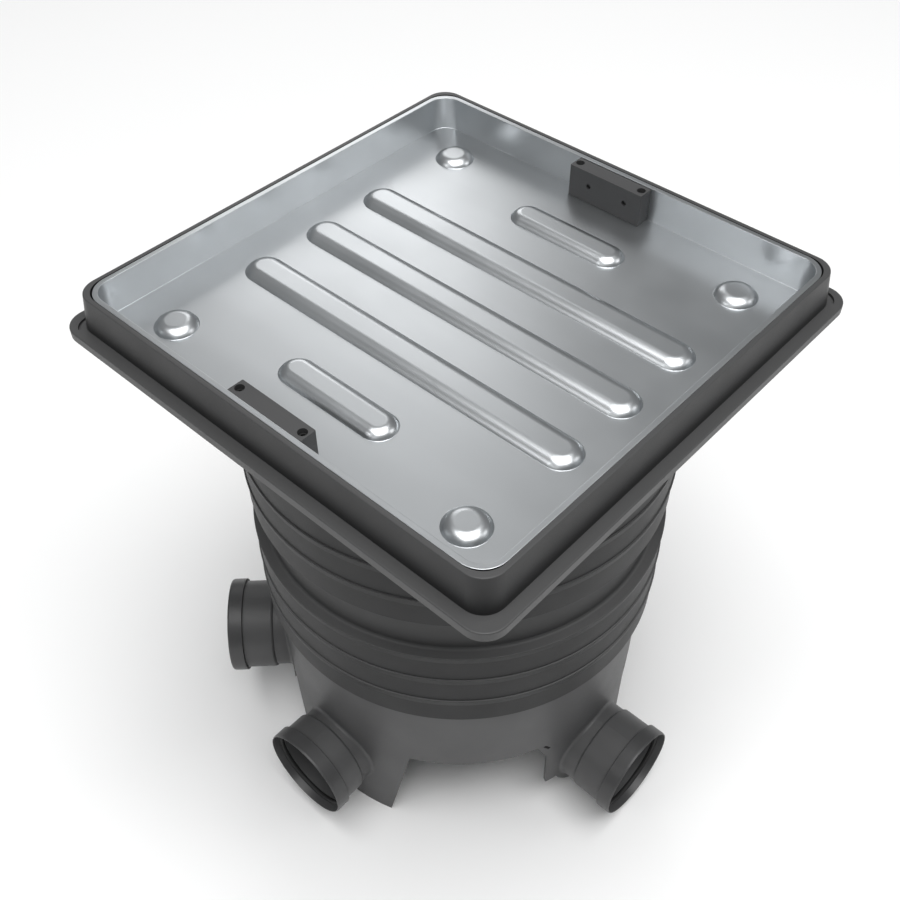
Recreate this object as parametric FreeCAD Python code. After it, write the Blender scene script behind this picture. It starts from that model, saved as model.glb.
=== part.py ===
import FreeCAD, Part
import math
import os

# Drain inspection chamber: a moulded base with six pipe sockets, two stacked risers
# and a square frame that carries a recessed steel tray cover. All lengths are in mm.
# Z points up with zero at the ground, X runs along the main channel to the outlet.

V = FreeCAD.Vector

# heights of the stack
PITCH = 187.0           # height one riser adds
RISER_FOOT = 283.6      # bottom edge of the lower riser
FRAME_RISE = 70.4       # rim of the frame above the pitch of the upper riser
TOP = RISER_FOOT + 2 * PITCH + FRAME_RISE   # the rim, flush with the finished paving
SOCKET_DEEP = 60.0      # how far a spigot reaches into the part above it
FIT = 0.3               # air left between pieces that only rest on each other

# round mouldings, all given as radii
BASE_R = 239.0
BASE_WALL = 5.0
WALL = 4.0
NECK_R = BASE_R - 1.0
SOCKET_R = BASE_R + 2.5             # bore that takes a base or riser spigot
BAND_R = SOCKET_R + 8.5
RING_R = BAND_R + 2.0
RING_TOPS = (42.3, 85.4, 128.5)     # above the riser's bottom edge; the last is its shoulder
RING_TALL = 10.5
SEAL_TALL = 9.4
SEAL_DROP = 22.0        # groove top below the end of the spigot
SEAL_DEEP = 3.0

# pipe sockets: direction in degrees, height of the axis, reach of the mouth
SOCKETS = (
    ("outlet", 0.0, 80.0, BASE_R + 75.5),
    ("inlet_main", 180.0, 80.0, BASE_R + 75.5),
    ("inlet_left_90", -90.0, 97.0, BASE_R + 60.0),
    ("inlet_right_90", 90.0, 97.0, BASE_R + 60.0),
    ("inlet_left_45", -135.0, 138.0, BASE_R + 75.0),
    ("inlet_right_45", 135.0, 138.0, BASE_R + 75.0),
)
PIPE_BORE = 55.3        # takes a 110 mm pipe
PIPE_SEAL = 6.0         # room for the pipe seal behind the cap's lip
FLOW_R = PIPE_BORE - 3.8            # channel and neck, behind the pipe stop
BODY_R = PIPE_BORE + 4.2
NECK_RING_R = BODY_R - 2.5
CAP_R = BODY_R + 3.5
CAP_LONG = 19.5
CAP_LIP = 9.0           # depth of the flared mouth in front of the pipe seal
BODY_LONG = 41.0
PIPE_DEEP = 62.0
SADDLE = 4.0
NECK_SHORT = 11.0       # least length of smooth neck outside the wall
SOCKET_ROOT = 40.0      # how far inside the wall's skin each socket's form begins

# floor of the chamber
BENCH_MID = 142.0
BENCH_EDGE = 168.0
SKIRT_TOP = 157.0       # head of the cut-outs in the skirt
COLLAR_R = NECK_RING_R + 10.5       # skirt kept whole round each socket
WEB = 5.0
WEB_TOP = 40.0
ARCH_Z = 55.0
SIGHT_ANGLE = 20.2      # drain slots beside the outlet, degrees from its axis
SIGHT_Z = 150.0
SIGHT_LEAN = -52.0
SIGHT_LONG = 14.0
SIGHT_WIDE = 3.6

# square parts, all given as half widths
RIM = BASE_R + 38.5
RIM_CORNER = 30.0
RIM_THICK = 5.0
RIM_TALL = 41.6         # rim above the flange
WALL_FOOT = RIM + 4.3
FOOT_CORNER = 55.0      # the wall's corners widen towards its foot
SEAT_CORNER = 34.0      # and so do the corners inside it
FLANGE = RIM + 17.1
FLANGE_CORNER = 25.0
FLANGE_TOP = TOP - RIM_TALL
FLANGE_DEEP = 10.4
LEDGE_TOP = FLANGE_TOP - 3.9
LEDGE_THICK = 4.5
LEDGE_HOLE = BASE_R - 14.0
SKIRT_FOOT = LEDGE_TOP - 42.5
UPPER_TOP = LEDGE_TOP - 10.5        # the upper riser's neck ends just under the ledge
GUSSETS = 16
KEY_SLOT_DEEP = 3.0
KEY_SLOT_HALF = 1.6
KEY_SLOTS = (           # start, middle and end of each curved slot, in from the corner
    (-1, ((23.1, 9.1), (17.1, 14.1), (13.6, 24.6))),
    (1, ((25.6, 10.6), (17.1, 13.6), (11.1, 22.1))),
)
GASKET_TALL = 2.5
GASKET_WIDE = 15.0
GASKET_CORNER = 18.0

# tray
SHEET = 1.5
TRAY_IN = RIM - 11.5
TRAY_CORNER = 22.0
TRAY_OUT = RIM - RIM_THICK - 0.5
TRAY_TOP = TOP - 0.4
TRAY_FLOOR = LEDGE_TOP + GASKET_TALL + SHEET
HEM_DEEP = 13.0
BEND = 1.5
PRESS_TALL = 8.0
PRESS_FOOT = 1.5        # small radius where a pressing leaves the floor
LONG_RIB = (2 * TRAY_IN - 76.0, 46.0, 17.0)     # length, width and width of the flat top
SHORT_RIB = (153.0, 41.0, 15.0)
DOME = (48.0, 48.0, 21.0)
RIB_MID = 2.0
LONG_RIB_YS = (-91.0, -0.5, 90.0)
SHORT_RIB_YS = (-179.0, 177.5)
DOME_X = TRAY_IN - 64.5
DOME_Y = TRAY_IN - 51.5

# lock blocks and their screws
BLOCK_LONG = 100.0
BLOCK_THICK = 19.0
BLOCK_TOP = TOP - 1.4
BLOCK_CORNER = 1.2
SCREW_X = 43.0
SCREW_Y = TRAY_IN - 9.5
HEAD_HOLE_R = 5.0
SHANK_HOLE_R = 3.4
SHANK_R = 3.0
HEAD_SEAT = BLOCK_TOP - 11.0
BOSS_R = 8.0
BOSS_FOOT = LEDGE_TOP - 28.5
PIN_X = (-22.0, 28.0)
PIN_Z = TOP - 20.0
PIN_HOLE_R = 3.1
PIN_STEM_R = 1.9        # hole for the rivet's stem
PIN_DEEP = 2.6          # how far a rivet head lies below the block's face


def save(shape, name):
    shape.exportStep("parts/" + name + ".step")


def polygon(points):
    """Closed face in the XZ plane from (x, z) points."""
    line = [V(x, 0, z) for x, z in points]
    return Part.Face(Part.makePolygon(line + line[:1]))


def turned(points):
    """Ring or disc swept round the Z axis from an (r, z) outline."""
    return polygon(points).revolve(V(0, 0, 0), V(0, 0, 1), 360)


def rod(radius, start, end):
    """Solid cylinder between two points."""
    axis = end.sub(start)
    return Part.makeCylinder(radius, axis.Length, start, axis)


def block(x0, x1, y0, y1, z0, z1):
    return Part.makeBox(x1 - x0, y1 - y0, z1 - z0, V(x0, y0, z0))


def square_wire(half, corner, z):
    """Square outline with round corners at height z."""
    flat = half - corner
    mid = flat + corner * math.sqrt(0.5)
    edges = []
    for turn in range(4):
        line = Part.makeLine(V(half, -flat, z), V(half, flat, z))
        arc = Part.Arc(V(half, flat, z), V(mid, mid, z), V(flat, half, z)).toShape()
        for edge in (line, arc):
            edge.rotate(V(0, 0, 0), V(0, 0, 1), 90 * turn)
            edges.append(edge)
    return Part.Wire(edges)


def square(half, corner, z0, z1):
    face = Part.Face(square_wire(half, corner, z0))
    return face.extrude(V(0, 0, z1 - z0))


def square_ring(outer, outer_corner, inner, inner_corner, z0, z1):
    return square(outer, outer_corner, z0, z1).cut(square(inner, inner_corner, z0, z1))


def soften(shape, radius, wanted):
    """Round off every edge that the test picks."""
    edges = [e for e in shape.Edges if wanted(e)]
    return shape.makeFillet(radius, edges)


def at_height(z):
    return lambda e: abs(e.BoundBox.ZMin - z) < 0.01 and abs(e.BoundBox.ZMax - z) < 0.01


def spigot(radius, wall, top):
    """Outline of a spigot end: points up the outside, then points down the inside.
    The seal groove is backed by a thicker ring so that the wall stays whole."""
    groove_top = top - SEAL_DROP
    groove_foot = groove_top - SEAL_TALL - 2 * FIT
    bed = radius - SEAL_DEEP
    inner = radius - wall
    thick = bed - wall
    outside = [
        (radius, groove_foot), (bed, groove_foot), (bed, groove_top), (radius, groove_top),
        (radius, top - 3.0), (radius - 1.5, top),
    ]
    inside = [
        (inner, top), (inner, groove_top + 8.0), (thick, groove_top + 3.0),
        (thick, groove_foot - 3.0), (inner, groove_foot - 8.0),
    ]
    return outside, inside


def ring_seal(spigot_r, top, bore_r):
    """Rubber ring that lies in a spigot's groove, with a lip against the bore."""
    low = top - SEAL_DROP - SEAL_TALL - FIT
    high = low + SEAL_TALL
    inner = spigot_r - SEAL_DEEP + FIT
    outer = bore_r - FIT
    heel = spigot_r - 0.2
    return turned([
        (inner, low), (heel, low), (outer - 0.6, low + 2.6), (outer, low + 3.6),
        (outer - 0.6, low + 4.4), (heel, low + 4.8), (outer - 0.9, low + 7.6),
        (heel, high), (inner, high),
    ])


# The base: shaft wall, channels, benching, pipe sockets and skirt.

def heading(angle):
    a = math.radians(angle)
    return V(math.cos(a), math.sin(a), 0)


def along(way, z, reach):
    return V(way.x * reach, way.y * reach, z)


def round_way(profile, angle, z):
    """Outline of (distance from the chamber axis, radius) turned about a pipe axis."""
    face = Part.Face(Part.makePolygon([V(s, 0, r) for s, r in profile + profile[:1]]))
    solid = face.revolve(V(0, 0, 0), V(1, 0, 0), 360)
    solid.rotate(V(0, 0, 0), V(0, 0, 1), angle)
    solid.translate(V(0, 0, z))
    return solid


def socket_outside(angle, z, reach, start):
    end = reach - CAP_LIP - PIPE_SEAL
    root = reach - CAP_LONG - BODY_LONG
    neck = max(root, BASE_R + NECK_SHORT)
    return round_way([
        (start, 0), (start, NECK_RING_R), (neck, NECK_RING_R), (neck + 1.2, BODY_R - 0.8),
        (neck + 3.0, BODY_R), (end, BODY_R), (end, 0),
    ], angle, z)


def socket_bore(angle, z, reach):
    stop = reach - PIPE_DEEP
    start = BASE_R - SOCKET_ROOT
    return round_way([
        (start, 0), (start, FLOW_R), (stop, FLOW_R), (stop + 1.0, PIPE_BORE),
        (reach, PIPE_BORE), (reach, 0),
    ], angle, z)


def socket_cap(angle, z, reach):
    back = reach - CAP_LONG
    inner = BODY_R + FIT
    lip = reach - CAP_LIP
    return round_way([
        (back, inner), (back, CAP_R - 1.2), (back + 1.2, CAP_R), (reach - 2.4, CAP_R),
        (reach - 0.6, CAP_R - 0.8), (reach, CAP_R - 1.6), (reach - 1.0, CAP_R - 2.6),
        (lip + 1.2, PIPE_BORE + FIT), (lip, PIPE_BORE + FIT), (lip, inner),
    ], angle, z)


def socket_seal(angle, z, reach):
    low = reach - CAP_LIP - PIPE_SEAL + FIT
    high = reach - CAP_LIP - FIT
    outer = BODY_R
    return round_way([
        (low, PIPE_BORE + 0.8), (low, outer), (high, outer), (high, PIPE_BORE + 1.4),
        (high - 1.6, PIPE_BORE + 0.2), (high - 3.2, PIPE_BORE + 0.1),
    ], angle, z)


def channel(angle, z, radius, lift, reach):
    """Half pipe with upright sides, from the middle of the chamber outwards."""
    pipe = rod(radius, V(0, 0, z), along(heading(angle), z, reach))
    half = radius - 0.4
    sides = block(0, reach, -half, half, z, lift)
    sides.rotate(V(0, 0, 0), V(0, 0, 1), angle)
    return pipe.fuse(sides)


def cutout(points):
    """Window in the skirt: corners as (degrees round the wall, height, radius)."""
    middle = sum(p[0] for p in points) / len(points)
    flat = []
    for degrees, z, r in points:
        flat.append((BASE_R * math.sin(math.radians(degrees - middle)), z, r))
    edges = []
    count = len(flat)
    trims = []
    for i, (t, z, r) in enumerate(flat):
        here = V(0, t, z)
        back = V(0, flat[i - 1][0], flat[i - 1][1]).sub(here)
        on = V(0, flat[(i + 1) % count][0], flat[(i + 1) % count][1]).sub(here)
        half = back.getAngle(on) / 2
        cut = r / math.tan(half) if r else 0.0
        start = here + back.normalize() * cut
        end = here + on.normalize() * cut
        bulge = (back + on).normalize() * (r / math.sin(half) - r) if r else V(0, 0, 0)
        trims.append((start, here + bulge, end, r))
    for i, (start, mid, end, r) in enumerate(trims):
        if r:
            edges.append(Part.Arc(start, mid, end).toShape())
        edges.append(Part.makeLine(end, trims[(i + 1) % count][0]))
    face = Part.Face(Part.Wire(edges))
    tool = face.extrude(V(BASE_R, 0, 0))
    tool.rotate(V(0, 0, 0), V(0, 0, 1), middle)
    return tool.cut(spun(Part.makeCylinder(BASE_R - 2 * BASE_WALL, TOP)))


def base_windows():
    """Openings between the feet, the same on both sides of the main channel."""
    front = [
        (-70.8, -5.0, 0), (-63.0, SKIRT_TOP, 3), (-23.5, SKIRT_TOP, 3), (-19.8, 124.0, 2),
        (-19.5, ARCH_Z, 3), (0.0, ARCH_Z, 0), (0.0, -5.0, 0),
    ]
    rear = [
        (-109.2, -5.0, 0), (-117.0, SKIRT_TOP - 2.0, 3), (-121.0, SKIRT_TOP - 6.0, 2),
        (-124.0, 68.0, 4), (-148.0, 68.0, 8), (-160.0, -5.0, 0),
    ]
    tools = []
    for outline in (front, rear):
        tool = cutout(outline)
        for name, angle, z, reach in SOCKETS:
            tool = tool.cut(rod(COLLAR_R, V(0, 0, z), along(heading(angle), z, reach)))
        tools.append(tool)
        tools.append(tool.mirror(V(0, 0, 0), V(0, 1, 0)))
    return tools


def spun(shape):
    """Turns a round shape's seam line away from every pipe axis."""
    shape.rotate(V(0, 0, 0), V(0, 0, 1), 62)
    return shape


def base_chamber():
    top = RISER_FOOT + SOCKET_DEEP - FIT
    inner = BASE_R - BASE_WALL
    end_outside, end_inside = spigot(BASE_R, BASE_WALL, top)
    solid = spun(turned([(0, 0), (BASE_R, 0)] + end_outside + [(0, top)]))
    for name, angle, z, reach in SOCKETS:
        solid = solid.fuse(socket_outside(angle, z, reach, inner - SOCKET_ROOT))
    joins = [e for e in solid.Edges if e.Length > 5 * BODY_R and is_saddle(e)]
    solid = solid.makeFillet(SADDLE, joins)

    room = spun(turned(
        [(0, top + 1), (inner, top + 1)] + end_inside + [(inner, BENCH_EDGE), (0, BENCH_MID)]))
    tube = spun(Part.makeCylinder(inner, top - 60))
    for name, angle, z, reach in SOCKETS:
        way = channel(angle, z, FLOW_R, BENCH_EDGE + 30.0, BASE_R + 10.0)
        room = room.fuse(way.common(tube))
    under = spun(turned([
        (0, -1), (inner, -1), (inner, BENCH_EDGE - WALL), (0, BENCH_MID - WALL)]))
    for name, angle, z, reach in SOCKETS:
        under = under.cut(channel(angle, z, FLOW_R + WALL, BENCH_EDGE + 30.0, BASE_R + 10.0))
    for angle in (0, 90):
        web = block(-BASE_R, BASE_R, -WEB / 2, WEB / 2, -2, WEB_TOP)
        web.rotate(V(0, 0, 0), V(0, 0, 1), angle)
        under = under.cut(web)
    body = solid.cut(room).cut(under)
    for tool in base_windows():
        body = body.cut(tool)
    for name, angle, z, reach in SOCKETS:
        body = body.cut(socket_bore(angle, z, reach))
    long, wide = SIGHT_LONG / 2, SIGHT_WIDE / 2
    slot = block(inner - BASE_WALL, BASE_R + BASE_WALL, -long, long, -wide, wide)
    slot.rotate(V(0, 0, 0), V(1, 0, 0), SIGHT_LEAN)
    slot.translate(V(0, 0, SIGHT_Z))
    for side in (-1, 1):
        mark = slot.copy() if side < 0 else slot.mirror(V(0, 0, 0), V(0, 1, 0))
        mark.rotate(V(0, 0, 0), V(0, 0, 1), side * SIGHT_ANGLE)
        body = body.cut(mark)
    return body


def is_saddle(edge):
    """True for the curve where a socket neck meets the round wall."""
    for i in range(9):
        first, last = edge.ParameterRange
        p = edge.valueAt(first + (last - first) * i / 8)
        if abs(math.hypot(p.x, p.y) - BASE_R) > 0.05:
            return False
    return edge.BoundBox.ZMax < RISER_FOOT and edge.BoundBox.ZLength > BODY_R


# The risers.

def riser(foot, neck_top):
    """Moulded shaft ring: socket below, three hoops, shoulder and a smooth neck."""
    def up(z):
        return foot + z

    outside = [(SOCKET_R, up(0)), (BAND_R - 1.0, up(0)), (BAND_R, up(1.0))]
    for top in RING_TOPS:
        outside += [
            (BAND_R, up(top - RING_TALL)), (RING_R, up(top - 1.4)),
            (RING_R - 0.3, up(top - 0.4)), (RING_R - 1.0, up(top)), (BAND_R, up(top)),
        ]
    shoulder = RING_TOPS[-1]
    cove = 4.0
    for step in range(5):
        a = math.radians(90 * step / 4)
        outside.append((NECK_R + cove - cove * math.sin(a), up(shoulder + cove - cove * math.cos(a))))
    end_outside, end_inside = spigot(NECK_R, WALL, neck_top)
    inner = NECK_R - WALL
    body = BAND_R - 6.0
    inside = [
        (inner, up(shoulder - WALL)), (body - 2.0, up(shoulder - WALL - 2.0)),
        (body, up(shoulder - WALL - 6.0)), (body, up(SOCKET_DEEP + 14.0)),
        (inner, up(SOCKET_DEEP + WALL)), (inner, up(SOCKET_DEEP)), (SOCKET_R, up(SOCKET_DEEP)),
    ]
    return turned(outside + end_outside + end_inside + inside)


# The frame, square above and round below.

def frame():
    inner = RIM - RIM_THICK
    wall = Part.makeLoft(
        [square_wire(WALL_FOOT, FOOT_CORNER, FLANGE_TOP - WALL), square_wire(RIM, RIM_CORNER, TOP)],
        True, True)
    wall = soften(wall, 1.2, at_height(TOP))
    flange = square(FLANGE, FLANGE_CORNER, FLANGE_TOP - FLANGE_DEEP, FLANGE_TOP)
    flange = soften(flange, 1.5, at_height(FLANGE_TOP))
    low = FLANGE_TOP - FLANGE_DEEP
    hollow = square(FLANGE - WALL, FLANGE_CORNER - WALL, low - 1, FLANGE_TOP - WALL)
    body = flange.cut(hollow)
    ledge = square(WALL_FOOT, FOOT_CORNER, LEDGE_TOP - LEDGE_THICK, FLANGE_TOP - 1)
    body = body.fuse([wall, ledge])
    seat = Part.makeLoft(
        [square_wire(inner, SEAT_CORNER, LEDGE_TOP), square_wire(inner, RIM_CORNER - RIM_THICK, TOP)],
        True, True)
    body = body.cut(seat)

    skirt_out = SOCKET_R + WALL
    skirt = turned([
        (SOCKET_R, SKIRT_FOOT), (skirt_out, SKIRT_FOOT), (skirt_out, LEDGE_TOP - LEDGE_THICK),
        (skirt_out, LEDGE_TOP - 1), (SOCKET_R, LEDGE_TOP - 1),
    ])
    body = body.fuse(skirt)
    for i in range(GUSSETS):
        angle = 360.0 * (i + 0.5) / GUSSETS
        far = FLANGE - 6.0
        reach = far / max(abs(math.cos(math.radians(angle))), abs(math.sin(math.radians(angle))))
        reach = min(reach, far * 1.25)
        rib = polygon([
            (skirt_out - 1.0, SKIRT_FOOT + 6), (skirt_out + 2.0, SKIRT_FOOT + 6),
            (reach, low), (reach, FLANGE_TOP - WALL + 0.5), (skirt_out - 1.0, FLANGE_TOP - WALL + 0.5),
        ]).extrude(V(0, WALL, 0))
        rib.translate(V(0, -WALL / 2, 0))
        rib.rotate(V(0, 0, 0), V(0, 0, 1), angle)
        body = body.fuse(rib)
    tips = square(FLANGE - 1, FLANGE_CORNER - 1, SKIRT_FOOT - 1, TOP + 1)
    body = body.common(tips.fuse(square(FLANGE, FLANGE_CORNER, low, TOP + 1)))
    for x, y in screw_spots():
        body = body.fuse(rod(BOSS_R, V(x, y, BOSS_FOOT), V(x, y, LEDGE_TOP - 0.5)))
    for x, y in screw_spots():
        body = body.cut(rod(SHANK_R + 0.15, V(x, y, BOSS_FOOT + 3), V(x, y, LEDGE_TOP + 1)))
    body = body.cut(rod(SOCKET_R, V(0, 0, SKIRT_FOOT - 1), V(0, 0, LEDGE_TOP - LEDGE_THICK)))
    body = body.cut(rod(LEDGE_HOLE, V(0, 0, SKIRT_FOOT - 1), V(0, 0, TOP)))
    for side, spots in KEY_SLOTS:
        body = body.cut(curved_slot(side, spots))
    return body


def curved_slot(side, spots):
    """Short key slot that follows a corner of the flange, left (-1) or right (1)."""
    z = FLANGE_TOP - KEY_SLOT_DEEP
    path = Part.Arc(*[V(side * (FLANGE - x), side * (FLANGE - y), z) for x, y in spots])
    wire = Part.Wire(path.toShape())
    strip = wire.makeOffset2D(KEY_SLOT_HALF, 0, False, False, True)
    return Part.Face(strip).extrude(V(0, 0, KEY_SLOT_DEEP + 1))


def screw_spots():
    return [(x, y) for x in (-SCREW_X, SCREW_X) for y in (-SCREW_Y, SCREW_Y)]


# The tray cover and the gasket under it.

def pressed(x, y, form, z, shrink, drop):
    """Raised pressing: a tight foot radius and a full round shoulder, swept round a
    straight-sided, round-ended form. The sheet's underside is the same form, smaller
    and lower."""
    long, wide, flat = form
    outer = wide / 2 - shrink
    inner = flat / 2 - shrink
    tall = PRESS_TALL
    base = z - drop
    run = outer - inner
    both = (run * run + tall * tall) / (2 * tall)
    shoulder = both - PRESS_FOOT
    lean = math.asin(run / both)

    def foot_arc(a):
        return V(outer - PRESS_FOOT * math.sin(a), 0, base + PRESS_FOOT - PRESS_FOOT * math.cos(a))

    def top_arc(a):
        return V(inner + shoulder * math.sin(a), 0, base + tall - shoulder + shoulder * math.cos(a))

    foot = foot_arc(0)
    knee = foot_arc(lean)
    crest = top_arc(0)
    sink = base - 0.75 if drop else z - 0.5
    edges = [
        Part.Arc(foot, foot_arc(lean / 2), knee).toShape(),
        Part.Arc(knee, top_arc(lean / 2), crest).toShape(),
        Part.makeLine(crest, V(0, 0, base + tall)),
        Part.makeLine(V(0, 0, base + tall), V(0, 0, sink)),
        Part.makeLine(V(0, 0, sink), V(outer, 0, sink)), Part.makeLine(V(outer, 0, sink), foot),
    ]
    face = Part.Face(Part.Wire(edges))
    end = face.revolve(V(0, 0, 0), V(0, 0, 1), 360)
    run_half = (long - wide) / 2
    if run_half < 1:
        end.translate(V(x, y, 0))
        return end
    half = face.copy()
    half.rotate(V(0, 0, 0), V(0, 0, 1), 90)
    half.translate(V(-run_half, 0, 0))
    side = half.extrude(V(2 * run_half, 0, 0))
    other = side.mirror(V(0, 0, 0), V(0, 1, 0))
    left = end.copy()
    left.translate(V(-run_half, 0, 0))
    right = end.copy()
    right.translate(V(run_half, 0, 0))
    whole = side.fuse([other, left, right]).removeSplitter()
    whole.translate(V(x, y, 0))
    return whole


def pressings(z, shrink, drop):
    forms = [pressed(RIB_MID, y, LONG_RIB, z, shrink, drop) for y in LONG_RIB_YS]
    forms += [pressed(RIB_MID, y, SHORT_RIB, z, shrink, drop) for y in SHORT_RIB_YS]
    for x in (-DOME_X, DOME_X):
        forms += [pressed(x, y, DOME, z, shrink, drop) for y in (-DOME_Y, DOME_Y)]
    return forms


def tray():
    under = TRAY_FLOOR - SHEET
    floor = TRAY_FLOOR
    pan = square(TRAY_IN + SHEET, TRAY_CORNER + SHEET, under, TRAY_TOP)
    pan = soften(pan, BEND + SHEET, at_height(under))
    room = square(TRAY_IN, TRAY_CORNER, floor, TRAY_TOP + 5)
    room = soften(room, BEND, at_height(floor))
    hem = square(TRAY_OUT, TRAY_CORNER + 6, TRAY_TOP - HEM_DEEP, TRAY_TOP)
    hem = soften(hem, 1.0, at_height(TRAY_TOP))
    gap = square(TRAY_OUT - SHEET, TRAY_CORNER + 6 - SHEET, TRAY_TOP - HEM_DEEP - 1, TRAY_TOP - SHEET)
    hem = hem.cut(gap)
    body = pan.fuse(hem).cut(room)
    body = body.fuse(pressings(floor, 0.0, 0.0))
    body = body.cut(pressings(floor, 0.9, SHEET))
    for x, y in screw_spots():
        body = body.cut(rod(SHANK_HOLE_R + 1, V(x, y, under - 1), V(x, y, floor + 1)))
    for side in (-1, 1):
        for x in PIN_X:
            start = V(x, side * (TRAY_IN - 1), PIN_Z)
            body = body.cut(rod(PIN_STEM_R, start, V(x, side * (TRAY_IN + SHEET + 1), PIN_Z)))
    return body


def tray_gasket():
    outer = TRAY_IN - 4.0
    ring = square_ring(outer, GASKET_CORNER, outer - GASKET_WIDE, GASKET_CORNER - 6.0,
                       LEDGE_TOP, LEDGE_TOP + GASKET_TALL)
    for x, y in screw_spots():
        ring = ring.cut(rod(SHANK_HOLE_R + 1, V(x, y, LEDGE_TOP - 1), V(x, y, TOP)))
    return ring


# The lock blocks, their screws and rivets.

def lock_block(side):
    floor = TRAY_FLOOR
    half = BLOCK_LONG / 2
    front = TRAY_IN - FIT - BLOCK_THICK
    body = block(-half, half, front, TRAY_IN - FIT, floor + FIT, BLOCK_TOP)
    body = soften(body, BLOCK_CORNER, lambda e: upright(e, front))
    body = soften(body, 2.8, lambda e: low_back(e, TRAY_IN - FIT, floor + FIT))
    body = soften(body, 0.6, at_height(BLOCK_TOP))
    for x in (-SCREW_X, SCREW_X):
        body = body.cut(rod(HEAD_HOLE_R, V(x, SCREW_Y, HEAD_SEAT), V(x, SCREW_Y, TOP)))
        body = body.cut(rod(SHANK_HOLE_R, V(x, SCREW_Y, floor - 1), V(x, SCREW_Y, TOP)))
    for x in PIN_X:
        body = body.cut(rod(PIN_HOLE_R, V(x, front - 1, PIN_Z), V(x, front + 2 * PIN_DEEP, PIN_Z)))
        body = body.cut(rod(PIN_STEM_R, V(x, front - 1, PIN_Z), V(x, TRAY_IN + 1, PIN_Z)))
    if side < 0:
        body = body.mirror(V(0, 0, 0), V(0, 1, 0))
    return body


def upright(edge, y):
    box = edge.BoundBox
    return box.ZLength > 10 and abs(box.YMin - y) < 0.01 and abs(box.YMax - y) < 0.01


def low_back(edge, y, z):
    box = edge.BoundBox
    return box.XLength > 50 and abs(box.YMin - y) < 0.01 and abs(box.ZMax - z) < 0.01


def lock_screws():
    """Four cap screws that hold the tray down into the frame's bosses."""
    foot = BOSS_FOOT + 6.0
    head_top = HEAD_SEAT + 6.0
    screws = []
    for x, y in screw_spots():
        head = rod(HEAD_HOLE_R - 0.5, V(x, y, HEAD_SEAT), V(x, y, head_top))
        head = soften(head, 0.5, at_height(head_top))
        shank = rod(SHANK_R, V(x, y, foot), V(x, y, HEAD_SEAT))
        screw = head.fuse(shank)
        key = Part.Face(Part.makePolygon([
            V(x + 2.9 * math.cos(math.radians(60 * k)), y + 2.9 * math.sin(math.radians(60 * k)),
              head_top - 3.0) for k in range(7)]))
        screws.append(screw.cut(key.extrude(V(0, 0, 4))))
    return Part.makeCompound(screws)


def block_pins():
    """Four rivets that fix the lock blocks to the tray walls."""
    front = TRAY_IN - FIT - BLOCK_THICK
    back = TRAY_IN + SHEET
    pins = []
    for side in (-1, 1):
        for x in PIN_X:
            head = rod(PIN_HOLE_R - 0.2, V(x, side * (front + PIN_DEEP), PIN_Z),
                       V(x, side * (front + 2 * PIN_DEEP), PIN_Z))
            stem = rod(PIN_STEM_R - 0.2, V(x, side * (front + 2 * PIN_DEEP), PIN_Z),
                       V(x, side * back, PIN_Z))
            tail = rod(3.4, V(x, side * back, PIN_Z), V(x, side * (back + 1.6), PIN_Z))
            pins.append(head.fuse([stem, tail]).removeSplitter())
    return Part.makeCompound(pins)


# Every piece is written to its own file.

os.makedirs("parts", exist_ok=True)
LOWER_TOP = RISER_FOOT + PITCH + SOCKET_DEEP - FIT
save(base_chamber(), "base_chamber")
save(riser(RISER_FOOT, LOWER_TOP), "riser_lower")
save(riser(RISER_FOOT + PITCH, UPPER_TOP), "riser_upper")
save(ring_seal(BASE_R, RISER_FOOT + SOCKET_DEEP - FIT, SOCKET_R), "seal_base")
save(ring_seal(NECK_R, LOWER_TOP, SOCKET_R), "seal_riser")
save(ring_seal(NECK_R, UPPER_TOP, SOCKET_R), "seal_frame")
save(frame(), "frame")
save(tray_gasket(), "tray_gasket")
save(tray(), "tray")
save(lock_block(-1), "lock_block_left")
save(lock_block(1), "lock_block_right")
save(lock_screws(), "lock_screws")
save(block_pins(), "block_pins")
for name, angle, z, reach in SOCKETS:
    save(socket_cap(angle, z, reach), "cap_" + name)
    save(socket_seal(angle, z, reach), "seal_" + name)
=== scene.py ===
"""Drain inspection chamber with a recessed steel cover, shown on a white studio floor.

The skins drawn here come from formulas. A riser is an outline with rounded corners
turned about the upright axis. The tray is an outline carried round a square with round
corners. Each rib or dome in it is a flank carried round a straight line with round
ends: its height falls from the flat top along one arc and meets the floor in a small
one. Outlines are given in mm, and every mesh is made in metres.
"""
import math

import bpy
import numpy as np
from mathutils import Matrix, Vector


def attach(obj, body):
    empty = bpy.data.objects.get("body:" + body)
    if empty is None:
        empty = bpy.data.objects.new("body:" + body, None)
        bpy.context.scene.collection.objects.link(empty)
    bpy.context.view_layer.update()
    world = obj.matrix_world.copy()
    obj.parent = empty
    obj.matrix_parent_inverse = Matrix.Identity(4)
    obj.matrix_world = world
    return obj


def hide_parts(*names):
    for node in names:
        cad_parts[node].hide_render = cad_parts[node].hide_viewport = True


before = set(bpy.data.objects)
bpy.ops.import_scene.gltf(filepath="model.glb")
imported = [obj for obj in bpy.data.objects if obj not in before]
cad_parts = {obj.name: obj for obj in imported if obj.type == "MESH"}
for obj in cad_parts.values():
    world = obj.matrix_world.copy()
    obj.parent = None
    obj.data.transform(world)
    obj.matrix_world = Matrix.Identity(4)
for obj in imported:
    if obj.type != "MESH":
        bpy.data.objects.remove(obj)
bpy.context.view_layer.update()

scene = bpy.context.scene
scene.view_settings.view_transform = "Standard"


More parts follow.
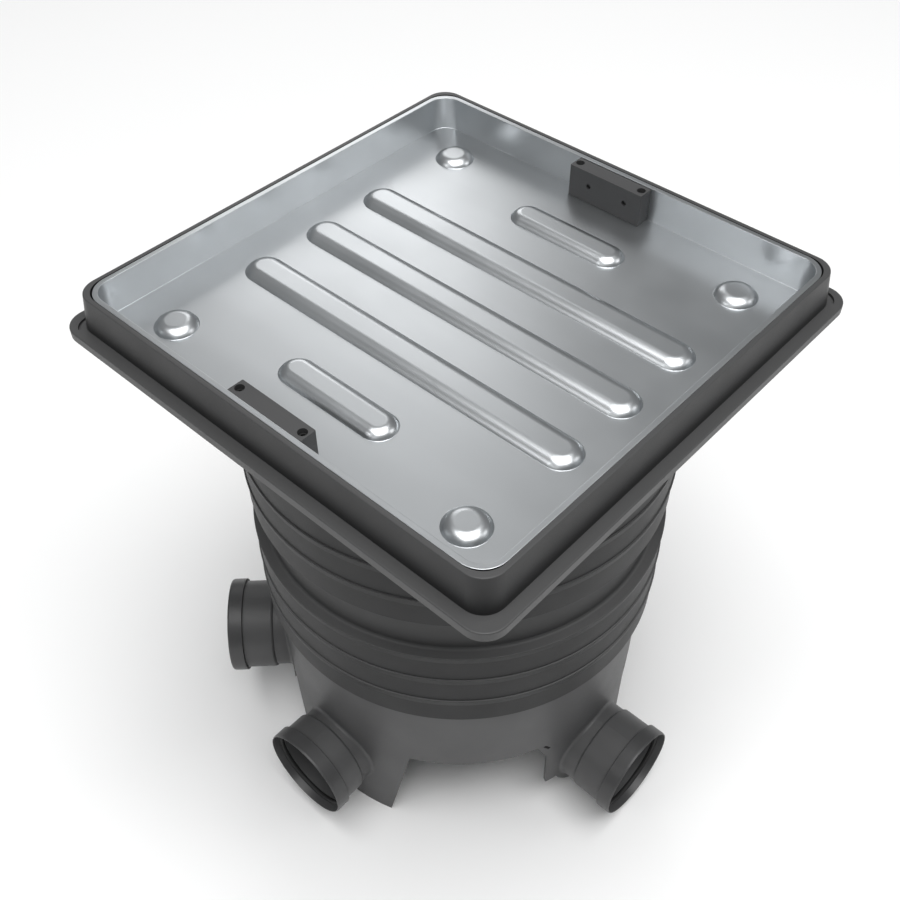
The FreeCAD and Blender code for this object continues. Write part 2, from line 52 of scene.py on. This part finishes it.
# Camera: a plain lens to the front right of the chamber, well above its cover, as in
# the photograph. The angles are degrees round the upright axis from the front, above
# the ground, and about the line of sight.
view_turn, view_height, view_roll = (math.radians(a) for a in (42.643, 46.338, -0.387))
view_from = (0.6078, -0.6767, 1.4272)
backward = Vector((math.sin(view_turn) * math.cos(view_height),
                   -math.cos(view_turn) * math.cos(view_height), math.sin(view_height)))
sideways = Vector((math.cos(view_turn), math.sin(view_turn), 0.0))
upward = backward.cross(sideways)
across = sideways * math.cos(view_roll) + upward * math.sin(view_roll)
upright = upward * math.cos(view_roll) - sideways * math.sin(view_roll)
lens = bpy.data.cameras.new("camera")
lens.lens = 44.36
lens.sensor_width = 36.0
lens.clip_start = 0.05
lens.clip_end = 60.0
camera = bpy.data.objects.new("camera", lens)
camera_place = Matrix((across, upright, backward)).transposed().to_4x4()
camera_place.translation = Vector(view_from)
camera.matrix_world = camera_place
scene.collection.objects.link(camera)
scene.camera = camera


# Studio floor: a matt white ground that carries the chamber's soft shadow. Its white
# drifts by a trace from place to place.
def new_material(name):
    """An empty node material and its node tree."""
    made = bpy.data.materials.new(name)
    made.use_nodes = True
    made.node_tree.nodes.clear()
    return made, made.node_tree


def grid_noise(tree, scale, detail, stretch=(1.0, 1.0, 1.0)):
    """Noise laid through the object's own space, stretched along its axes."""
    where = tree.nodes.new("ShaderNodeTexCoord")
    squeeze = tree.nodes.new("ShaderNodeMapping")
    squeeze.inputs["Scale"].default_value = stretch
    noise = tree.nodes.new("ShaderNodeTexNoise")
    noise.inputs["Scale"].default_value = scale
    noise.inputs["Detail"].default_value = detail
    tree.links.new(where.outputs["Object"], squeeze.inputs["Vector"])
    tree.links.new(squeeze.outputs["Vector"], noise.inputs["Vector"])
    return noise.outputs["Fac"]


def spread(tree, noise, low, high):
    """Carries a noise value from its usual span, 0.3 to 0.7, to low and high."""
    step = tree.nodes.new("ShaderNodeMapRange")
    step.inputs["From Min"].default_value = 0.3
    step.inputs["From Max"].default_value = 0.7
    step.inputs["To Min"].default_value = low
    step.inputs["To Max"].default_value = high
    tree.links.new(noise, step.inputs["Value"])
    return step.outputs["Result"]


floor_white = (("Red", 0.935), ("Green", 0.934), ("Blue", 0.932))
floor_drift = 0.004
floor_reach = 14.0
floor_material, floor_tree = new_material("studio_floor")
floor_out = floor_tree.nodes.new("ShaderNodeOutputMaterial")
floor_matt = floor_tree.nodes.new("ShaderNodeBsdfDiffuse")
floor_tone = floor_tree.nodes.new("ShaderNodeCombineColor")
for channel, least in floor_white:
    drift = spread(floor_tree, grid_noise(floor_tree, scale=0.8, detail=1.0),
                   least, least + floor_drift)
    floor_tree.links.new(drift, floor_tone.inputs[channel])
floor_tree.links.new(floor_tone.outputs["Color"], floor_matt.inputs["Color"])
floor_tree.links.new(floor_matt.outputs["BSDF"], floor_out.inputs["Surface"])
floor_mesh = bpy.data.meshes.new("studio_floor")
floor_mesh.from_pydata(
    [(-floor_reach, -floor_reach, 0), (floor_reach, -floor_reach, 0),
     (floor_reach, floor_reach, 0), (-floor_reach, floor_reach, 0)], [], [(0, 1, 2, 3)])
floor_mesh.materials.append(floor_material)
floor = bpy.data.objects.new("studio_floor", floor_mesh)
scene.collection.objects.link(floor)


# Studio sky: a dim even dome, seen as plain white, with soft boxes. The large one
# overhead lights the floor and every face that looks up. Two behind the cover shine in
# the sheet, those at the sides show in the tray's walls, and one fills the front.
world = bpy.data.worlds.new("studio_sky")
world.use_nodes = True
scene.world = world
sky = world.node_tree
sky.nodes.clear()
sky_out = sky.nodes.new("ShaderNodeOutputWorld")
sky_lit = sky.nodes.new("ShaderNodeBackground")
sky_seen = sky.nodes.new("ShaderNodeBackground")
sky_mix = sky.nodes.new("ShaderNodeMixShader")
sky_path = sky.nodes.new("ShaderNodeLightPath")
sky_lit.inputs["Color"].default_value = (0.97, 0.99, 1.0, 1.0)
sky_lit.inputs["Strength"].default_value = 0.2
sky_seen.inputs["Color"].default_value = (1.0, 1.0, 1.0, 1.0)
sky_seen.inputs["Strength"].default_value = 1.0
sky.links.new(sky_path.outputs["Is Camera Ray"], sky_mix.inputs["Fac"])
sky.links.new(sky_lit.outputs["Background"], sky_mix.inputs[1])
sky.links.new(sky_seen.outputs["Background"], sky_mix.inputs[2])
sky.links.new(sky_mix.outputs["Shader"], sky_out.inputs["Surface"])
cover_middle = Vector((0.0, 0.0, 0.7))


def soft_box(name, azimuth, height, distance, wide, tall, glow):
    """Rectangular lamp that faces the cover. Its direction is given in degrees round
    from +X and above the ground, its sizes in metres. Its power is pi times its area
    times its glow."""
    lamp = bpy.data.lights.new(name, "AREA")
    lamp.shape = "RECTANGLE"
    lamp.size = wide
    lamp.size_y = tall
    lamp.energy = glow * math.pi * wide * tall
    box = bpy.data.objects.new(name, lamp)
    a, h = math.radians(azimuth), math.radians(height)
    way = Vector((math.cos(h) * math.cos(a), math.cos(h) * math.sin(a), math.sin(h)))
    box.location = cover_middle + way * distance
    box.rotation_mode = "QUATERNION"
    box.rotation_quaternion = way.to_track_quat("Z", "Y")
    scene.collection.objects.link(box)


soft_box("overhead_box", -23.0, 79.0, 6.4, wide=5.6, tall=5.6, glow=5.3)
soft_box("back_box", 141.0, 28.0, 6.4, wide=2.2, tall=2.4, glow=1.8)
soft_box("back_upper_box", 134.0, 44.0, 6.4, wide=1.4, tall=1.4, glow=1.0)
soft_box("left_box", -108.0, 36.0, 6.0, wide=1.6, tall=1.6, glow=3.2)
soft_box("right_box", 40.0, 33.0, 6.0, wide=2.0, tall=1.9, glow=2.4)
soft_box("camera_box", -75.0, 32.0, 6.0, wide=3.0, tall=1.6, glow=0.9)


# Base: one dark grey polypropylene moulding with the channels, skirt and socket bodies.
# It stands on its skirt and takes the lower riser over its top. Its satin skin, with a
# fine grain and a slight cloudiness, is shared by every piece of plastic and rubber.
def effect(name, taken, given):
    """A node group with named inputs (label, kind, first value) and outputs (label,
    kind). Gives the group and its inner input and output nodes."""
    group = bpy.data.node_groups.new(name, "ShaderNodeTree")
    for label, kind, first in taken:
        socket = group.interface.new_socket(name=label, in_out="INPUT", socket_type=kind)
        socket.default_value = first
    for label, kind in given:
        group.interface.new_socket(name=label, in_out="OUTPUT", socket_type=kind)
    return group, group.nodes.new("NodeGroupInput"), group.nodes.new("NodeGroupOutput")


def combine(tree, kind, a, b):
    """One step of arithmetic on two values, each a node's output or a number."""
    step = tree.nodes.new("ShaderNodeMath")
    step.operation = kind
    for place, value in enumerate((a, b)):
        if isinstance(value, float):
            step.inputs[place].default_value = value
        else:
            tree.links.new(value, step.inputs[place])
    return step.outputs[0]


moulded, moulded_in, moulded_out = effect(
    "moulded_skin",
    (("Tone", "NodeSocketColor", (0.03, 0.03, 0.03, 1.0)),
     ("Sheen", "NodeSocketFloat", 0.4),
     ("Cloud", "NodeSocketFloat", 0.1),
     ("Painted Light", "NodeSocketFloat", 0.0)),
    (("Color", "NodeSocketColor"),
     ("Roughness", "NodeSocketFloat"),
     ("Height", "NodeSocketFloat")))
cloud = combine(moulded, "MULTIPLY",
                spread(moulded, grid_noise(moulded, scale=9.0, detail=3.0), -1.0, 1.0),
                moulded_in.outputs["Cloud"])
shade = moulded.nodes.new("ShaderNodeVectorMath")
shade.operation = "SCALE"
moulded.links.new(moulded_in.outputs["Tone"], shade.inputs[0])
moulded.links.new(combine(moulded, "ADD", cloud, 1.0), shade.inputs["Scale"])
# Painted light: the value given as painted light is added to the shaded tone, a pale lift
# on chosen faces.
painted_light = moulded.nodes.new("ShaderNodeVectorMath")
painted_light.operation = "ADD"
moulded.links.new(shade.outputs["Vector"], painted_light.inputs[0])
moulded.links.new(moulded_in.outputs["Painted Light"], painted_light.inputs[1])
moulded.links.new(painted_light.outputs["Vector"], moulded_out.inputs["Color"])
grain = spread(moulded, grid_noise(moulded, scale=900.0, detail=2.0), -0.03, 0.03)
smear = spread(moulded, grid_noise(moulded, scale=22.0, detail=2.0), -0.02, 0.03)
moulded.links.new(
    combine(moulded, "ADD", moulded_in.outputs["Sheen"],
            combine(moulded, "ADD", grain, smear)),
    moulded_out.inputs["Roughness"])
moulded.links.new(grid_noise(moulded, scale=1400.0, detail=2.0),
                  moulded_out.inputs["Height"])


def plastic(name, tone, sheen, shine=0.5, painted_light=None, bump=0.03):
    """Plastic in the moulded skin. Tone is its colour, sheen its roughness and shine its
    specular level. Where a maker of painted light is given, it makes in the material's own
    nodes the value that is added to the colour as painted light: a pale lift on faces that
    the lamps leave darker."""
    material, tree = new_material(name)
    out = tree.nodes.new("ShaderNodeOutputMaterial")
    body = tree.nodes.new("ShaderNodeBsdfPrincipled")
    group = tree.nodes.new("ShaderNodeGroup")
    group.node_tree = moulded
    group.inputs["Tone"].default_value = (*tone, 1.0)
    group.inputs["Sheen"].default_value = sheen
    relief = tree.nodes.new("ShaderNodeBump")
    relief.inputs["Strength"].default_value = bump
    relief.inputs["Distance"].default_value = 0.0002
    tree.links.new(group.outputs["Color"], body.inputs["Base Color"])
    tree.links.new(group.outputs["Roughness"], body.inputs["Roughness"])
    tree.links.new(group.outputs["Height"], relief.inputs["Height"])
    tree.links.new(relief.outputs["Normal"], body.inputs["Normal"])
    if painted_light:
        tree.links.new(painted_light(tree), group.inputs["Painted Light"])
    body.inputs["IOR"].default_value = 1.49
    body.inputs["Specular IOR Level"].default_value = shine
    tree.links.new(body.outputs["BSDF"], out.inputs["Surface"])
    return material


def dress(node_name, material):
    """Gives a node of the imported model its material."""
    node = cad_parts[node_name]
    node.data.materials.clear()
    node.data.materials.append(material)


base_plastic = plastic("base_plastic", (0.075, 0.075, 0.076), 0.45, shine=0.4)
dress("base_chamber", base_plastic)


# Risers: two equal black shaft mouldings with three hoops, a shoulder and a smooth neck.
# Each slips over the part below and stops on an inner lip. Painted light: a pale lift is
# added to the colour of the faces that look up, most of all the hoops' ledges, and of the
# smooth neck, so that they look paler than the bands.
def rounded(corners, closed=True):
    """Outline with round corners. Takes (x, z, radius) in mm and gives points and
    outward normals, counting the outline clockwise when seen with z up. Each corner is
    an arc that touches both its sides, cut off at radius times the tangent of half the
    turn, in steps of 22 degrees or less. An open outline keeps its two ends."""
    points, normals = [], []
    count = len(corners)
    for i, (x, z, r) in enumerate(corners):
        before, after = corners[i - 1], corners[(i + 1) % count]
        a = np.array([x - before[0], z - before[1]], float)
        b = np.array([after[0] - x, after[1] - z], float)
        a /= np.linalg.norm(a)
        b /= np.linalg.norm(b)
        if not closed and i in (0, count - 1):
            way = b if i == 0 else a
            points.append(np.array([x, z], float))
            normals.append(np.array([-way[1], way[0]]))
            continue
        turn = math.atan2(a[0] * b[1] - a[1] * b[0], float(a @ b))
        start = np.array([x, z]) - a * (r * math.tan(abs(turn) / 2))
        side = math.copysign(1.0, turn)
        inward = np.array([-a[1], a[0]]) * side
        centre = start + inward * r
        parts = max(1, math.ceil(abs(turn) / math.radians(22.0)))
        for k in range(parts + 1):
            t = turn * k / parts
            c, s = math.cos(t), math.sin(t)
            spoke = np.array([-inward[0] * c + inward[1] * s,
                              -inward[0] * s - inward[1] * c])
            points.append(centre + spoke * r)
            normals.append(spoke * -side)
    return np.array(points), np.array(normals)


def shell(rows, facing, closed=True):
    """Quads over a stack of rings, given in mm as (ring, point, xyz). An open stack is
    closed by a flat face over its first and its last ring."""
    stack, ring = rows.shape[:2]
    last = stack if closed else stack - 1
    i, j = np.meshgrid(np.arange(last), np.arange(ring), indexing="ij")
    i2, j2 = (i + 1) % stack, (j + 1) % ring
    quads = np.stack([i * ring + j, i2 * ring + j, i2 * ring + j2, i * ring + j2], axis=-1)
    faces = quads.reshape(-1, 4).tolist()
    if not closed:
        faces.append(list(range(ring)))
        faces.append(list(range(stack * ring - 1, (stack - 1) * ring - 1, -1)))
    return rows.reshape(-1, 3) * 0.001, facing.reshape(-1, 3), faces


def skin(name, shells, material):
    """One smooth mesh object from one or more shells, shaded by their own normals."""
    corners, normals, faces = [], [], []
    for xyz, facing, part in shells:
        first = sum(len(c) for c in corners)
        faces += [[first + k for k in face] for face in part]
        corners.append(xyz)
        normals.append(facing)
    mesh = bpy.data.meshes.new(name)
    mesh.from_pydata(np.concatenate(corners).tolist(), [], faces)
    mesh.polygons.foreach_set("use_smooth", np.ones(len(faces), dtype=bool))
    mesh.update()
    mesh.normals_split_custom_set_from_vertices(np.concatenate(normals).tolist())
    mesh.materials.append(material)
    piece = bpy.data.objects.new(name, mesh)
    scene.collection.objects.link(piece)
    return piece


def carried(outline, normals, flat, ways):
    """Lays an outline's heights, and its normals turned along the ways, on the rings
    whose level x and y are given. Gives rows and facing for a shell."""
    level = np.ones((len(outline), len(ways), 1))
    rows = np.concatenate([flat, outline[:, None, 1:] * level], axis=-1)
    facing = np.concatenate([normals[:, None, :1] * ways,
                             normals[:, None, 1:] * level], axis=-1)
    return rows, facing


def turned(corners):
    """Turns a rounded outline of (radius, z, corner radius) about the upright axis: a
    point goes to its radius times (cos, sin) of each of 192 angles."""
    points, normals = rounded(corners)
    angle = np.linspace(0.0, 2.0 * math.pi, 192, endpoint=False)
    ways = np.stack([np.cos(angle), np.sin(angle)], axis=-1)
    return shell(*carried(points, normals, points[:, None, :1] * ways, ways))


riser_bore, riser_inside, hoop_inside, groove_backing = 241.5, 234.0, 244.0, 231.0
band, hoop, neck, groove = 250.0, 252.0, 238.0, 235.0
hoop_pitch, hoop_tall, shoulder_rise = 43.1, 10.5, 128.5
# Strengths of the painted light on the up-facing ledges and on the neck.
ledge_painted_light, neck_painted_light = 0.1, 0.35


def riser_outline(foot, neck_top):
    """Up the inside from the bore to the neck's end, then down the outside over the
    seal groove, the smooth neck, the shoulder and the hoops, back to the foot."""
    shoulder = foot + shoulder_rise
    inside = [
        (riser_bore, foot, 0.3), (riser_bore, foot + 60.0, 0.4),
        (riser_inside, foot + 60.0, 0.6), (riser_inside, foot + 64.0, 1.0),
        (hoop_inside, foot + 74.0, 3.0), (hoop_inside, shoulder - 10.0, 1.5),
        (hoop_inside - 2.0, shoulder - 6.0, 1.5), (riser_inside, shoulder - 4.0, 1.5),
        (riser_inside, neck_top - 40.0, 2.0), (groove_backing, neck_top - 35.0, 1.0),
        (groove_backing, neck_top - 19.0, 1.0), (riser_inside, neck_top - 14.0, 1.0),
        (riser_inside, neck_top, 0.4)]
    outside = [
        (neck - 1.5, neck_top, 0.8), (neck, neck_top - 3.0, 0.8),
        (neck, neck_top - 22.0, 0.4), (groove, neck_top - 22.0, 0.3),
        (groove, neck_top - 32.0, 0.3), (neck, neck_top - 32.0, 0.4),
        (neck, shoulder, 4.0)]
    for number in range(3):
        top = shoulder - number * hoop_pitch
        outside += [(hoop, top, 1.1), (band, top - hoop_tall, 1.0)]
        if number < 2:
            outside += [(band, top - hoop_pitch, 0.5)]
    return inside + outside + [(band, foot, 1.2)]


def riser_painted_light(tree):
    """Painted light of the up-facing faces, most of all the ledges, and of the neck, read
    from the riser's point attribute that holds it.
    """
    painted_lift = tree.nodes.new("ShaderNodeAttribute")
    painted_lift.attribute_name = "painted_lift"
    return combine(tree, "MULTIPLY", painted_lift.outputs["Fac"], ledge_painted_light)


riser_plastic = plastic("riser_plastic", (0.014, 0.014, 0.0144), 0.5, shine=0.3,
                        painted_light=riser_painted_light)
for name, foot, neck_top in (("riser_lower", 283.6, 530.3), ("riser_upper", 470.6, 672.0)):
    xyz, facing, faces = turned(riser_outline(foot, neck_top))
    piece = skin(name + "_skin", [(xyz, facing, faces)], riser_plastic)
    # Painted light: faces that look up get a pale lift as strong as they face up, and the
    # smooth neck a little more.
    on_neck = np.hypot(xyz[:, 0], xyz[:, 1]) < (neck + 0.5) * 0.001
    painted_lift_amount = np.clip(facing[:, 2], 0.0, 1.0) + neck_painted_light * on_neck
    painted_lift = piece.data.attributes.new("painted_lift", "FLOAT", "POINT")
    painted_lift.data.foreach_set("value", painted_lift_amount.astype(np.float32))
    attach(piece, "root")
    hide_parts(name)
    dress(name, riser_plastic)


# Ring seals: black rubber lip rings between base, risers and frame. Each is stretched
# into the groove of a spigot, out of sight.
rubber = plastic("rubber", (0.012, 0.012, 0.012), 0.6, bump=0.1)
for name in ("seal_base", "seal_riser", "seal_frame"):
    dress(name, rubber)


# Frame: one black moulding. A square rim stands on a flange; a round skirt with gussets
# under it drops over the upper riser's neck. Painted light: a pale lift is added to the
# colour of its flange and the top of its rim, the level faces, so that they look paler
# than the upright wall between them.
flange_low, flange_high, rim_high = 0.675, 0.6867, 0.7272
# Strength of the painted light on the frame's level faces.
level_painted_light = 0.04


def frame_painted_light(tree):
    """Painted light on the level faces: between the flange's heights, and above the rim's.
    """
    where = tree.nodes.new("ShaderNodeTexCoord")
    parts = tree.nodes.new("ShaderNodeSeparateXYZ")
    tree.links.new(where.outputs["Object"], parts.inputs["Vector"])
    height = parts.outputs["Z"]
    flange = combine(tree, "MULTIPLY", combine(tree, "GREATER_THAN", height, flange_low),
                     combine(tree, "LESS_THAN", height, flange_high))
    rim = combine(tree, "GREATER_THAN", height, rim_high)
    return combine(tree, "MULTIPLY", combine(tree, "ADD", flange, rim), level_painted_light)


frame_plastic = plastic("frame_plastic", (0.018, 0.018, 0.0185), 0.42, shine=0.4,
                        painted_light=frame_painted_light)
dress("frame", frame_plastic)


def square_rings(points, normals, centre):
    """Carries an outline of (half width, z) round a square with round corners. Centre
    tells, ring by ring, how far the corners' centres lie from the middle lines. A ring
    is the corner centres' square, moved outwards by half width less centre."""
    ways, bases = [], []
    for quarter in range(4):
        c = round(math.cos(quarter * math.pi / 2))
        s = round(math.sin(quarter * math.pi / 2))
        local = [(u, 1.0, 0.0) for u in np.linspace(-1.0, 1.0, 16, endpoint=False)]
        for t in np.linspace(0.0, math.pi / 2, 14, endpoint=False):
            local.append((1.0, math.cos(t), math.sin(t)))
        for y, nx, ny in local:
            bases.append((c - s * y, s + c * y))
            ways.append((c * nx - s * ny, s * nx + c * ny))
    bases, ways = np.array(bases), np.array(ways)
    out = points[:, 0] - centre
    flat = centre[:, None, None] * bases + out[:, None, None] * ways
    return carried(points, normals, flat, ways)


# Frame wall: the outer face of the rim, part of the same moulding. It leans in a little
# towards the top, and its corners keep one tight radius down to the flange.
wall_inside, wall_foot, wall_top = 274.0, 281.55, 277.6
wall_low, wall_high = 686.35, 727.98
wall_corner, inner_corner_extra = 24.0, 2.5
points, normals = rounded([
    (wall_inside, wall_low, 0.1), (wall_inside, wall_high, 0.1),
    (wall_top, wall_high, 1.2), (wall_foot, wall_low, 0.1)])
extra = np.clip(wall_inside + inner_corner_extra - points[:, 0], 0.0, inner_corner_extra)
centre = points[:, 0] - (wall_corner + extra)
frame_wall = skin("frame_wall", [shell(*square_rings(points, normals, centre))],
                  frame_plastic)
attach(frame_wall, "root")


# Tray gasket: a flat square ring of black rubber on the frame's ledge, under the tray.
# It keeps the cover from rattling.
dress("tray_gasket", rubber)


# Tray: smooth galvanised sheet, pressed with ribs and domes, its rim folded out and
# down into the frame. It rests on the gasket.
tray_floor, tray_under, tray_high = 686.5, 685.0, 727.6
tray_inside, tray_outside, hem_outside = 266.0, 267.5, 272.0
hem_low, hem_under = 714.6, 726.1
tray_reach, corner_centre = 262.0, 244.0
rim = [(tray_reach, tray_floor, 0.0), (tray_inside, tray_floor, 0.5),
       (tray_inside, tray_high, 0.6), (hem_outside, tray_high, 0.6),
       (hem_outside, hem_low, 0.3), (hem_outside - 1.5, hem_low, 0.3),
       (hem_outside - 1.5, hem_under, 0.7), (tray_outside, hem_under, 0.7),
       (tray_outside, tray_under, 3.0), (tray_reach, tray_under, 0.0)]
press_tall, press_foot, press_sunk = 8.0, 0.6, 0.7
long_rib, short_rib, dome = (456.0, 46.0, 17.0), (153.0, 41.0, 15.0), (48.0, 48.0, 21.0)
rib_middle, long_rib_ys, short_rib_ys = 2.0, (-91.0, -0.5, 90.0), (-179.0, 177.5)
dome_x, dome_y = 201.5, 214.5


def pressing(x, y, long, wide, flat):
    """Rib or dome, given its length, its width and the width of its flat top. With
    run = (wide - flat) / 2, the radii of the two arcs of its flank add up to
    (run^2 + tall^2) / (2 tall), so that they meet without a kink."""
    run = (wide - flat) / 2
    both = (run * run + press_tall * press_tall) / (2 * press_tall)
    lean = math.asin(run / both)
    crown = both - press_foot
    a = np.linspace(0.0, lean, 14)
    high = np.stack([flat / 2 + crown * np.sin(a),
                     press_tall - crown + crown * np.cos(a)], axis=-1)
    b = np.linspace(lean, 0.0, 7)[1:]
    low = np.stack([wide / 2 - press_foot * np.sin(b),
                    press_foot - press_foot * np.cos(b)], axis=-1)
    points = np.concatenate([high, low, [(wide / 2, -press_sunk)]])
    slope = np.concatenate([a, b, [0.0]])
    half = (long - wide) / 2
    arc = 40
    t = np.linspace(-math.pi / 2, math.pi / 2, arc, endpoint=half > 0)
    way = np.stack([np.cos(t), np.sin(t)], axis=-1)
    way = np.concatenate([way, -way])
    end = np.where(np.arange(2 * arc) < arc, half, -half)
    level = np.ones(2 * arc)
    rows = np.stack([x + end + points[:, :1] * way[:, 0], y + points[:, :1] * way[:, 1],
                     tray_floor + points[:, 1:] * level], axis=-1)
    steep, flatness = np.sin(slope)[:, None], np.cos(slope)[:, None]
    facing = np.stack([steep * way[:, 0], steep * way[:, 1], flatness * level], axis=-1)
    return shell(rows, facing, closed=False)


points, normals = rounded(rim, closed=False)
centre = np.full(len(points), corner_centre)
shells = [shell(*square_rings(points, normals, centre), closed=False)]
shells += [pressing(rib_middle, y, *long_rib) for y in long_rib_ys]
shells += [pressing(rib_middle, y, *short_rib) for y in short_rib_ys]
shells += [pressing(x, y, *dome) for x in (-dome_x, dome_x) for y in (-dome_y, dome_y)]

sheet, sheet_in, sheet_out = effect(
    "sheet_skin",
    (("Tone", "NodeSocketColor", (0.6, 0.6, 0.6, 1.0)),
     ("Sheen", "NodeSocketFloat", 0.3)),
    (("Color", "NodeSocketColor"),
     ("Roughness", "NodeSocketFloat"),
     ("Height", "NodeSocketFloat")))
rolled = grid_noise(sheet, scale=6.0, detail=2.0, stretch=(0.4, 3.0, 3.0))
tint = sheet.nodes.new("ShaderNodeVectorMath")
tint.operation = "SCALE"
sheet.links.new(sheet_in.outputs["Tone"], tint.inputs[0])
sheet.links.new(spread(sheet, rolled, 0.97, 1.03), tint.inputs["Scale"])
sheet.links.new(tint.outputs["Vector"], sheet_out.inputs["Color"])
dull = spread(sheet, grid_noise(sheet, scale=14.0, detail=2.0), -0.02, 0.02)
sheet.links.new(combine(sheet, "ADD", sheet_in.outputs["Sheen"], dull),
                sheet_out.inputs["Roughness"])
sheet.links.new(grid_noise(sheet, scale=30.0, detail=1.0), sheet_out.inputs["Height"])

zinc, zinc_tree = new_material("galvanised_sheet")
zinc_out = zinc_tree.nodes.new("ShaderNodeOutputMaterial")
zinc_body = zinc_tree.nodes.new("ShaderNodeBsdfPrincipled")
zinc_group = zinc_tree.nodes.new("ShaderNodeGroup")
zinc_group.node_tree = sheet
zinc_group.inputs["Tone"].default_value = (0.60, 0.62, 0.635, 1.0)
zinc_group.inputs["Sheen"].default_value = 0.32
zinc_relief = zinc_tree.nodes.new("ShaderNodeBump")
zinc_relief.inputs["Strength"].default_value = 0.2
zinc_relief.inputs["Distance"].default_value = 0.0001
zinc_body.inputs["Metallic"].default_value = 1.0
zinc_tree.links.new(zinc_group.outputs["Color"], zinc_body.inputs["Base Color"])
zinc_tree.links.new(zinc_group.outputs["Roughness"], zinc_body.inputs["Roughness"])
zinc_tree.links.new(zinc_group.outputs["Height"], zinc_relief.inputs["Height"])
zinc_tree.links.new(zinc_relief.outputs["Normal"], zinc_body.inputs["Normal"])
zinc_tree.links.new(zinc_body.outputs["BSDF"], zinc_out.inputs["Surface"])
tray_skin = skin("tray_skin", shells, zinc)
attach(tray_skin, "root")
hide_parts("tray")
dress("tray", zinc)


# Lock blocks: two dark grey nylon blocks that hold the cover down. Each is riveted to
# the tray's wall and has two deep holes for the lock screws.
block_plastic = plastic("block_plastic", (0.05, 0.05, 0.051), 0.5)
for name in ("lock_block_left", "lock_block_right"):
    dress(name, block_plastic)


# Lock screws and rivets: blackened steel cap screws sunk in the blocks, and the rivets
# that fix the blocks to the sheet.
screw_steel = plastic("screw_steel", (0.02, 0.02, 0.02), 0.35)
for name in ("lock_screws", "block_pins"):
    dress(name, screw_steel)


# Socket caps and pipe seals: a snap ring of the base's plastic closes each socket's
# mouth and holds a black lip seal for the pipe behind its flared edge. A cap is turned
# about the upright axis and then laid along its socket.
cap_bore, cap_mouth, cap_outside = 59.8, 61.2, 63.0
cap_long, flare_long, edge_wide, edge_slope = 19.5, 9.0, 1.0, 2.4
cap_plastic = plastic("cap_plastic", (0.05, 0.05, 0.051), 0.4)
for name, azimuth, height, reach in (
        ("outlet", 0.0, 80.0, 314.5), ("inlet_main", 180.0, 80.0, 314.5),
        ("inlet_left_90", -90.0, 97.0, 299.0), ("inlet_right_90", 90.0, 97.0, 299.0),
        ("inlet_left_45", -135.0, 138.0, 314.0), ("inlet_right_45", 135.0, 138.0, 314.0)):
    xyz, facing, faces = turned([
        (cap_bore, reach - cap_long, 0.2), (cap_bore, reach - flare_long, 0.2),
        (cap_mouth, reach, 0.5), (cap_mouth + edge_wide, reach, 0.5),
        (cap_outside, reach - edge_slope, 1.0), (cap_outside, reach - cap_long, 1.0)])
    lay = np.array(Matrix.Rotation(math.radians(azimuth), 3, "Z")
                   @ Matrix.Rotation(math.radians(90.0), 3, "Y"))
    xyz = xyz @ lay.T + (0.0, 0.0, height * 0.001)
    piece = skin("cap_" + name + "_skin", [(xyz, facing @ lay.T, faces)], cap_plastic)
    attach(piece, "root")
    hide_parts("cap_" + name)
    dress("cap_" + name, cap_plastic)
    dress("seal_" + name, rubber)
